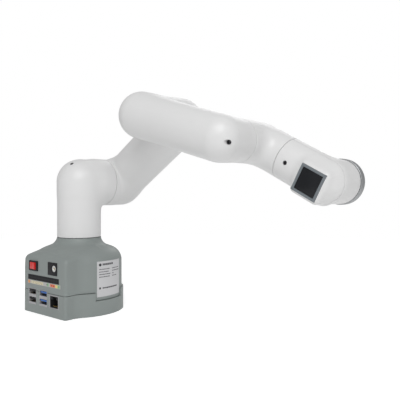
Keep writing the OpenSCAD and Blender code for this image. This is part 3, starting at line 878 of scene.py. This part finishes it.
def seen_or_lighting(tree, seen, lighting):
    """Brightness of the backdrop: one value as it is seen, a lower one for the light it sheds."""
    path = tree.nodes.new("ShaderNodeLightPath")
    strength = add(tree, "ShaderNodeMapRange", To_Min=lighting, To_Max=seen)
    tree.links.new(path.outputs["Is Camera Ray"], strength.inputs["Value"])
    return strength.outputs["Result"]


def floor_and_lights():
    floor_r = 900
    bm = bmesh.new()
    bmesh.ops.create_circle(bm, cap_ends=True, segments=96, radius=floor_r)
    floor = finish_mesh(bm, "floor")
    mat, tree, shader = new_material("studio_floor")
    tone = noise(tree, 0.6)
    tree.links.new(tint(tree, tone.outputs["Fac"], (0.84, 0.84, 0.84), (0.87, 0.87, 0.87)),
                   shader.inputs["Base Color"])
    shader.inputs["Emission Color"].default_value = (1, 1, 1, 1)
    tree.links.new(seen_or_lighting(tree, 0.46, 0.16), shader.inputs["Emission Strength"])
    shader.inputs["Roughness"].default_value = 0.9
    paint(floor, mat)
    world = bpy.data.worlds.new("studio")
    world.use_nodes = True
    sky = world.node_tree.nodes["Background"]
    sky.inputs["Color"].default_value = (1, 1, 1, 1)
    world.node_tree.links.new(seen_or_lighting(world.node_tree, 1.0, 0.5), sky.inputs["Strength"])
    bpy.context.scene.world = world
    bpy.context.scene.view_settings.view_transform = "Standard"
    target = Vector((20, -110, 120)) * MM
    for name, at, size, power in (
        ("key", (-700, -800, 950), 850, 8.6),
        ("fill", (-1200, -100, 350), 900, 0.5),
        ("rim", (900, 300, 700), 600, 1.5),
    ):
        lamp = bpy.data.lights.new(name, "AREA")
        lamp.size = size * MM
        lamp.energy = power
        obj = bpy.data.objects.new(name, lamp)
        obj.location = Vector(at) * MM
        obj.rotation_euler = (target - obj.location).to_track_quat("-Z", "Y").to_euler()
        bpy.context.scene.collection.objects.link(obj)


def camera():
    """Camera at the viewing angle: low, near, in front of the port panel's corner."""
    cam = bpy.data.cameras.new("camera")
    cam.sensor_width = 36
    cam.lens = 46.0
    cam.shift_y = -0.0218
    obj = bpy.data.objects.new("camera", cam)
    obj.location = Vector((-328.1, -440.1, 121.7)) * MM
    obj.rotation_euler = (math.radians(90), 0, math.radians(-50))
    bpy.context.scene.collection.objects.link(obj)
    bpy.context.scene.camera = obj


# ---- build ----------------------------------------------------------------------------

# Room left round a shape when its surface is looked for
PAD = 6.0

# Base shells: tongue and label, as angles round the base, and the screws in the underside
TONGUE_FOOT = low("base_upper_shell", 2)
TONGUE_SWEEP = 46
LABEL_SWEEP = 42
LABEL_ANGLE = -83
SPLIT_GAP = 0.25
SCREW_ANGLES = (20, 62, 118, 242, 340)
SCREW_RING = 38.6
SCREW_POCKET_R = 2.9
INSERT_AT = 25
INSERT_R = 3.2

# Port panel: heights above the board, and sizes as (width, height)
PORT_X = low("usb2_stack", 0)
BOARD_TOP = low("usb2_stack", 2)
USB = {"usb2_stack": BLACK, "usb3_stack": BLUE}
SLOT_Z = (2.2, 10.3)
SLOT = (12.4, 4.9)
JACK_CAVITY = (11.9, 7.2)
LATCH = (6.0, 9.8)
PIN_PITCH = 2.54
PIN_HOLE = 0.8
ROCKER_AT = joint_point("power_switch")


def middle(node, axis):
    return (low(node, axis) + high(node, axis)) / 2


def whole(node):
    """Box of a node, as its two corners."""
    return [low(node, i) for i in range(3)], [high(node, i) for i in range(3)]


def window(node, trim=0.0):
    """Cutter for the opening in the port panel that a socket looks out of."""
    return box_cutter(
        (-PANEL_X - 4, low(node, 1) + trim, low(node, 2) + trim),
        (-PANEL_X + 5, high(node, 1) - trim, high(node, 2) - trim),
    )


def boxes_piece(name, mat, body, slot, boxes, cuts=(), nodes=(), edge=0.15):
    """Piece made of straight-sided blocks less others, with softened edges."""
    obj = finish_mesh(lattice(boxes, cuts), name)
    soften(obj, edge)
    bake_modifiers(obj)
    return place(obj, mat, body, slot, *nodes)


def on_ring(angle):
    """Frame on the underside, at one of the screws that join the two base shells."""
    return Matrix.Rotation(math.radians(angle), 4, "Z") @ Matrix.Translation((SCREW_RING, 0, 0))


def build_base_shells():
    reach = BASE_R + PAD
    lo, hi = (-PANEL_X - PAD, -reach, -PAD), (reach, reach, SPLIT_Z + PAD)
    notch_start = LABEL_ANGLE - TONGUE_SWEEP / 2
    ports = ("usb2_stack", "usb3_stack", "ethernet_jack")
    drills = []
    for x in (-INSERT_AT, INSERT_AT):
        for y in (-INSERT_AT, INSERT_AT):
            drills.append(round_cutter(Matrix.Translation((x, y, 0)), INSERT_R, -1, WALL + 1.6))
    for angle in SCREW_ANGLES:
        drills.append(round_cutter(on_ring(angle), SCREW_POCKET_R, -1, 1.6))
    notch = pie(notch_start - 0.5, TONGUE_SWEEP + 1, reach, TONGUE_FOOT - 0.4, 40)
    lower = shell(
        "base_lower_casing", base_lower_form(), lo, hi,
        [(2, 0, 1), (2, SPLIT_Z - SPLIT_GAP, -1)], ROW, closed=(2, 0),
        holes=[*(window(p) for p in ports), *drills, finish_mesh(notch, "notch")],
    )
    place(lower, GREY, "base", "base_shell", "base_lower_shell")

    lo = (-PANEL_X - PAD, -reach, TONGUE_FOOT - PAD)
    hi = (reach, reach, NECK_TOP + PAD)
    below_split = pie(notch_start + TONGUE_SWEEP, 360 - TONGUE_SWEEP, 2 * reach, 0, SPLIT_Z + SPLIT_GAP)
    ports = (*ports, "gpio_header", "dc_jack_body")
    upper = shell(
        "base_upper_casing", base_upper_form(), lo, hi,
        [(2, TONGUE_FOOT, 1), (2, NECK_TOP - HALF_GAP, -1)], ROW,
        holes=[finish_mesh(below_split, "below_split"),
               *(window(p) for p in ports), window("rocker_bezel", 0.8)],
    )
    place(upper, GREY, "base", "base_shell", "base_upper_shell")


def build_base_screws():
    parts = []
    for angle in SCREW_ANGLES:
        upside_down = on_ring(angle) @ Matrix.Rotation(math.pi, 4, "X")
        parts.append(screw_mesh("base_screw", upside_down, head=-0.4, head_r=2.6, tall=1.3))
    place(join("base_screw_heads", parts), STEEL, "base", "steel", "base_screws")


def build_usb():
    """Stacked sockets: a can with two slots, each with a tongue that carries four contacts."""
    slot_depth, tongue_half, contact_half = 11, 5.4, 0.5
    for node, tongue_mat in USB.items():
        y = middle(node, 1)
        front = PORT_X
        slots = [((front - 1, y - SLOT[0] / 2, BOARD_TOP + z),
                  (front + slot_depth, y + SLOT[0] / 2, BOARD_TOP + z + SLOT[1])) for z in SLOT_Z]
        boxes_piece(node + "_can", CAN, "base", "socket_can", [whole(node)], slots, [node], edge=0.2)
        tongues = [((front + 0.8, y - tongue_half, BOARD_TOP + z + 2.6),
                    (front + slot_depth + 0.2, y + tongue_half, BOARD_TOP + z + 4.4)) for z in SLOT_Z]
        boxes_piece(node + "_tongues", tongue_mat, "base", "black_plastic", tongues)
        contacts = [((front + 1.3, y + side - contact_half, BOARD_TOP + z + 2.45),
                     (front + 9, y + side + contact_half, BOARD_TOP + z + 2.65))
                    for z in SLOT_Z for side in (-3.5, -1.1, 1.1, 3.5)]
        boxes_piece(node + "_contacts", GOLD, "base", "steel", contacts, edge=0.05)


def build_ethernet():
    """Network socket: a can, a black liner with the plug's keyway, and eight contacts."""
    node = "ethernet_jack"
    y, foot = middle(node, 1), BOARD_TOP + 1.6
    front = PORT_X
    mouth = ((front - 1, y - 6.7, foot - 0.7), (front + 15, y + 6.7, foot + 10.6))
    cavity = ((front - 1, y - JACK_CAVITY[0] / 2, foot),
              (front + 14, y + JACK_CAVITY[0] / 2, foot + JACK_CAVITY[1]))
    latch = ((front - 1, y - LATCH[0] / 2, foot + 1), (front + 9, y + LATCH[0] / 2, foot + LATCH[1]))
    boxes_piece("ethernet_can", CAN, "base", "socket_can", [whole(node)], [mouth], [node], edge=0.2)
    liner = ((front + 0.5, y - 6.65, foot - 0.65), (front + 14.8, y + 6.65, foot + 10.5))
    boxes_piece("ethernet_liner", BLACK, "base", "black_plastic", [liner], [cavity, latch])
    pitch, contact_half = 1.02, 0.22
    contacts = [((front + 2, y + (i - 3.5) * pitch - contact_half, foot + 0.5),
                 (front + 12, y + (i - 3.5) * pitch + contact_half, foot + 0.8))
                for i in range(8)]
    boxes_piece("ethernet_contacts", GOLD, "base", "steel", contacts, edge=0.05)


def build_gpio():
    """Bar of 2 x 20 pin sockets."""
    node = "gpio_header"
    half_hole, hole_depth = PIN_HOLE / 2, 4
    y, z = middle(node, 1), middle(node, 2)
    face = low(node, 0)
    sockets = []
    for i in range(20):
        for row in (-1, 1):
            at_y, at_z = y + (i - 9.5) * PIN_PITCH, z + row * PIN_PITCH / 2
            sockets.append(((face - 1, at_y - half_hole, at_z - half_hole),
                            (face + hole_depth, at_y + half_hole, at_z + half_hole)))
    boxes_piece("pin_socket_bar", BLACK, "base", "black_plastic", [whole(node)], sockets, [node], edge=0.08)


def build_pinout_strip():
    """Strip of plain colour blocks under the socket bar, with rows of small ticks."""
    node = "pinout_label"
    z, half_h = middle(node, 2), (high(node, 2) - low(node, 2)) / 2
    back, face = -PANEL_X, -PANEL_X - 0.14
    print_face, tick_face, inset = face - 0.04, face - 0.06, 0.35

    def blocks(spans):
        return [((print_face, a, z - half_h + inset), (back, b, z + half_h - inset)) for a, b in spans]

    film = ((face, low(node, 1), z - half_h), (back + 0.1, high(node, 1), z + half_h))
    boxes_piece("pinout_film", STRIP, "base", "label_film", [film], nodes=[node], edge=0.05)
    for name, colour, spans in (
        ("orange", (0.62, 0.26, 0.08), [(23.8, 27.2)]),
        ("cream", (0.66, 0.60, 0.42), [(0.5, 21.5)]),
        ("red", (0.70, 0.16, 0.07), [(-19.2, -11.2)]),
        ("yellow", (0.72, 0.58, 0.16), [(-23.2, -19.8)]),
        ("green", (0.22, 0.42, 0.22), [(-26.8, -23.6), (-8.6, -6.2)]),
    ):
        mat = moulded("print_" + name, colour, 0.45, depth=0.05)
        boxes_piece("pinout_" + name, mat, "base", "label_film", blocks(spans), edge=0.02)
    rng = random.Random(SEED)
    ticks = []
    for column in range(18):
        y = 20.6 - column * 1.12
        for row in (-1, 0, 1):
            tall = rng.uniform(0.18, 0.34)
            wide = rng.uniform(0.3, 0.8)
            middle_z = z + row * 0.85
            ticks.append(((tick_face, y - wide, middle_z - tall / 2), (back, y, middle_z + tall / 2)))
    for y in (-5.2, -13.4, -16.6):
        ticks.append(((tick_face, y - 1.2, z - 0.5), (back, y, z + 0.5)))
    boxes_piece("pinout_ticks", INK, "base", "label_film", ticks, edge=0.01)


def build_rating_label():
    """Rating plate without words: a film with generic bars where its lines of print stand."""
    node = "rating_label"
    foot, head = low(node, 2), high(node, 2)
    start, end = LABEL_ANGLE - LABEL_SWEEP / 2, LABEL_ANGLE + LABEL_SWEEP / 2
    skin = UPPER_BASE_R
    film = curved_plates([(start, end, foot, head)], skin - 0.3, skin + 0.16)
    place(finish_mesh(film, "rating_film"), LABEL, "base", "label_film", node)

    def patch(u0, u1, v, tall):
        z = head - v * (head - foot)
        return (start + u0 * LABEL_SWEEP, start + u1 * LABEL_SWEEP, z - tall / 2, z + tall / 2)

    rng = random.Random(SEED)
    print_lines = []

    def bar(u0, u1, v, tall, block, gap):
        """One line of print as a row of small blocks."""
        u = u0
        while u < u1 - 0.01:
            wide = block * rng.uniform(0.6, 1.3)
            print_lines.append(patch(u, min(u + wide, u1), v, tall))
            u += wide + gap

    slices, dot_at, dot_half, dot_tall = 9, 0.105, 0.045, 2.9
    half_slice = 0.111
    for i in range(slices):
        across = -1 + 2 * (i + 0.5) / slices
        tall = dot_tall * math.sqrt(1 - across * across)
        left, right = (dot_at + dot_half * (across + side * half_slice) for side in (-1, 1))
        print_lines.append(patch(left, right, 0.095, tall))
    bar(0.19, 0.62, 0.09, 1.9, 0.05, 0.012)
    for row, (left_end, right_end) in enumerate(((0.46, 0.92), (0.42, 0.96), (0.50, 0.66), (0.47, 0.80))):
        v = 0.225 + 0.072 * row
        bar(0.07, left_end, v, 0.8, 0.03, 0.01)
        bar(0.58, right_end, v, 0.8, 0.028, 0.01)
    print_lines.append(patch(0.07, 0.13, 0.755, 1.9))
    bar(0.19, 0.82, 0.755, 1.3, 0.04, 0.01)
    mesh = curved_plates(print_lines, skin, skin + 0.19)
    place(finish_mesh(mesh, "rating_print"), INK, "base", "label_film")


def build_power_entry():
    """Rocker switch in its bezel, and the round supply socket in its block."""
    node = "rocker_bezel"
    y, z = ROCKER_AT.y, ROCKER_AT.z
    outer = ((low(node, 0), low(node, 1), low(node, 2)), (-PANEL_X, high(node, 1), high(node, 2)))
    lip, body_depth = 0.8, 13.5
    body = ((-PANEL_X - 0.1, low(node, 1) + lip, low(node, 2) + lip),
            (-PANEL_X + body_depth, high(node, 1) - lip, high(node, 2) - lip))
    half_w, half_h = 5.05, 3.65
    pocket = ((-PANEL_X - 3, y - half_w, z - half_h), (-PANEL_X + 7, y + half_w, z + half_h))
    boxes_piece("rocker_frame", BLACK, "base", "black_plastic", [outer, body], [pocket], [node], edge=0.35)

    node = "power_rocker"
    half_h, wide, dip, crown, tip = 3.4, 4.6, -4.5, -4.55, -5.1
    rest_tilt = -6
    outline = [(tip, -wide), (crown, -0.5), (dip, 0), (crown, 0.5), (tip, wide)]
    outline += [(-1, wide), (2.4, 2.2), (2.4, -2.2), (-1, -wide)]
    bm = prism(outline[::-1], -half_h, half_h)
    turn = Matrix.Translation(ROCKER_AT) @ Matrix.Rotation(math.radians(rest_tilt), 4, "Z")
    rocker = soften(finish_mesh(bm, "rocker_paddle", turn), 0.3, angle=20)
    place(bake_modifiers(rocker), RED, "rocker", "red_rocker", node)

    node = "dc_jack_body"
    y, z = middle("dc_jack_contacts", 1), middle("dc_jack_contacts", 2)
    out_of_panel = Matrix.Translation((-PANEL_X, y, z)) @ Matrix.Rotation(math.radians(-90), 4, "Y")
    jack = boxes_piece("supply_socket_block", BLACK, "base", "black_plastic", [whole(node)], (), [node], 0.5)
    subtract(jack, [round_cutter(out_of_panel, 3.2, -10, 4)])
    paint(jack, BLACK)
    bore, rim = 1.3, 3.15
    sleeve = lathe([[bore, -9], [rim, -9], [rim, 0.2], [2.9, 0.45], [1.6, 0.45], [bore, 0.1], [bore, -9]])
    place(finish_mesh(sleeve, "supply_socket_sleeve", out_of_panel), NICKEL, "base", "steel")
    pin = lathe([[0, -9], [0.8, -9], [0.8, -1.0], [0.55, -0.4], [0, -0.2]], 32)
    place(finish_mesh(pin, "supply_socket_pin", out_of_panel), GOLD, "base", "steel", "dc_jack_contacts")


def build_turret():
    top = J2.z + SHOULDER_R + PAD
    f = turret_form()
    outward = Vector((-13.8, -5.2, 20.1)).normalized()
    at = skin_point(f, (0, 0, J2.z), outward)
    pocket = Matrix.Translation(at) @ outward.to_track_quat("Z", "Y").to_matrix().to_4x4()
    obj = shell(
        "turret_casing", f,
        (-NECK_R - PAD, -SHOULDER_R - PAD, NECK_TOP - PAD), (SEAM_X + PAD, SHOULDER_R + PAD, top),
        [(2, NECK_TOP + HALF_GAP, 1), (0, SEAM_X - HALF_GAP, -1)], ROW, holes=[recess(pocket, 2.0)],
    )
    place(obj, WHITE, "turret", "arm_shell", "turret_shell")
    screws_piece("turret_screw_head", [pocket], "turret", "turret_screw", 1.8)


def build_upper_arm():
    reach = SHOULDER_R + PAD
    seam = to_local(UPPER, SEAM_X + HALF_GAP)
    lo, hi = (seam - PAD, -reach, -reach), (reach, reach, UPPER_LEN + reach)
    f = upper_arm_form()
    frames = screw_frames(UPPER, f, [(0, 0, s) for s in (0, UPPER_LEN / 2, UPPER_LEN)], 1)
    halves("upper_arm", UPPER, f, lo, hi, (
        ("upper_arm_casing", "upper_arm_shell", [(0, seam, 1), (0, 0, -1)], ()),
        ("upper_arm_outer_cover", "upper_arm_cover", [(0, 0, 1)], [recess(m, 1.8) for m in frames]),
    ))
    screws_piece("upper_arm_screw_heads", frames, "upper_arm", "upper_arm_screws", 1.6)


def build_forearm():
    reach = ELBOW_R + PAD
    seam = to_local(FORE, SEAM_X - HALF_GAP)
    lo, hi = (-reach, -reach, -reach), (seam + PAD, reach, FORE_LEN + reach)
    f = forearm_form()
    frames = screw_frames(FORE, f, [(0, 0, -19.2), (0, 0, FORE_LEN + 17.4)], -1)
    halves("forearm", FORE, f, lo, hi, (
        ("forearm_casing", "forearm_shell", [(0, seam, -1), (0, 0, 1)], ()),
        ("forearm_outer_cover", "forearm_cover", [(0, 0, -1)], [recess(m, 2.0) for m in frames]),
    ))
    screws_piece("forearm_screw_heads", frames, "forearm", "forearm_screws", 1.8)


def build_wrist_1():
    reach = WRIST_R + PAD
    seam = to_local(WRIST, SEAM_X + HALF_GAP)
    lo, hi = (seam - PAD, -reach, -reach), (reach, reach, WRIST_SEAM + PAD)
    top = (2, WRIST_SEAM - HALF_GAP, -1)
    f = wrist_1_form()
    frames = screw_frames(WRIST, f, [(0, -10, 0), (0, 10, 0)], 1)
    halves("wrist_1", WRIST, f, lo, hi, (
        ("wrist_1_casing", "wrist_1_shell", [(0, seam, 1), (0, 0, -1), top], ()),
        ("wrist_1_outer_cover", "wrist_1_cover", [(0, 0, 1), top], [recess(m, 1.6) for m in frames]),
    ))
    screws_piece("wrist_1_screw_heads", frames, "wrist_1", "wrist_1_screws", 1.4)


def build_wrist_2():
    reach = WRIST_R + PAD
    split = to_local(WRIST, COVER_X)
    seam = to_local(WRIST, FLANGE_X - HALF_GAP)
    split_gap = 0.15
    lo = (-reach, -reach, WRIST_SEAM - PAD)
    hi = (seam + PAD, reach, WRIST_LEN + reach)
    foot = (2, WRIST_SEAM + HALF_GAP, 1)
    f = wrist_2_form()
    frames = screw_frames(WRIST, f, [(0, 0, 42)], -1)
    x, y, z = DISPLAY_AT
    half_w = FRAME_HALF + 0.15
    opening = box_cutter((x - 4, y - half_w, z - half_w), (x + 6, y + half_w, z + half_w), WRIST)
    halves("wrist_2", WRIST, f, lo, hi, (
        ("wrist_2_casing", "wrist_2_shell", [(0, seam, -1), (0, split + split_gap, 1), foot], ()),
        ("wrist_2_display_cover", "wrist_2_cover", [(0, split - split_gap, -1), foot],
         [recess(frames[0], 2.0), opening]),
    ))
    screws_piece("wrist_2_screw_head", frames, "wrist_2", "wrist_2_screws", 1.8)


def build_display():
    """Grey frame flush round a glossy pane that is pressed in as a button."""
    x, y, z = DISPLAY_AT
    inner = PANE_HALF + 0.15
    ring = ((x - FRAME_RISE, y - FRAME_HALF, z - FRAME_HALF), (x + 3, y + FRAME_HALF, z + FRAME_HALF))
    hole = ((x - 3, y - inner, z - inner), (x + 5, y + inner, z + inner))
    frame_piece = soften(finish_mesh(lattice([ring], [hole]), "display_frame", WRIST), 0.5, 3)
    place(bake_modifiers(frame_piece), FRAME_GREY, "wrist_2", "bezel_plastic", "display_bezel")
    pane = ((x - 0.2, y - PANE_HALF, z - PANE_HALF), (x + 2.2, y + PANE_HALF, z + PANE_HALF))
    window_piece = soften(finish_mesh(lattice([pane]), "display_window", WRIST), 0.35, 3)
    place(bake_modifiers(window_piece), WINDOW, "button", "display_gloss", "display_button")


def build_flange():
    """Tool flange with its centring recess, tapped holes and countersunk hub screws."""
    r, thick = high("tool_flange", 2) - J6.z, high("tool_flange", 0) - low("tool_flange", 0)
    pilot_r, pilot, hole_ring, hole_r = 10.0, 4.0, 15.75, 2.1
    hub_ring, pocket_r, pocket_depth, head_r = 7.0, 2.2, 1.7, 2.0
    face = Matrix.Translation((low("tool_flange", 0), J6.y, J6.z)) @ facing(1)
    profile = [
        [0, 0], [r - 0.5, 0], [r, 0.5], [r, thick - 0.9], [r - 0.25, thick - 0.35], [r - 0.9, thick],
        [pilot_r + 0.4, thick], [pilot_r, thick - 0.4], [pilot_r, thick - pilot], [0, thick - pilot],
    ]
    obj = finish_mesh(lathe(profile, 128), "tool_plate", face)
    cutters = []
    for i in range(4):
        turn = face @ Matrix.Rotation(i * math.pi / 2, 4, "Z") @ Matrix.Translation((hole_ring, 0, 0))
        cutters.append(round_cutter(turn, hole_r, -1, thick + 1))
        cutters.append(round_cutter(turn, hole_r, thick - 0.5, thick + 0.5, flare=0.9))
    heads = []
    for i in range(4):
        turn = face @ Matrix.Rotation((i + 0.5) * math.pi / 2, 4, "Z") @ Matrix.Translation((hub_ring, 0, 0))
        cutters.append(round_cutter(turn, pocket_r, thick - pilot - pocket_depth, thick))
        heads.append(screw_mesh("hub_screw", turn, thick - pilot - 0.3, head_r, tall=1.5))
    subtract(obj, cutters)
    place(obj, ALLOY, "tool", "flange_alloy", "tool_flange")
    place(join("flange_screw_heads", heads), STEEL, "tool", "steel", "flange_screws")


camera()
floor_and_lights()
build_base_shells()
build_base_screws()
build_usb()
build_ethernet()
build_gpio()
build_pinout_strip()
build_rating_label()
build_power_entry()
build_turret()
build_upper_arm()
build_forearm()
build_wrist_1()
build_wrist_2()
build_display()
build_flange()
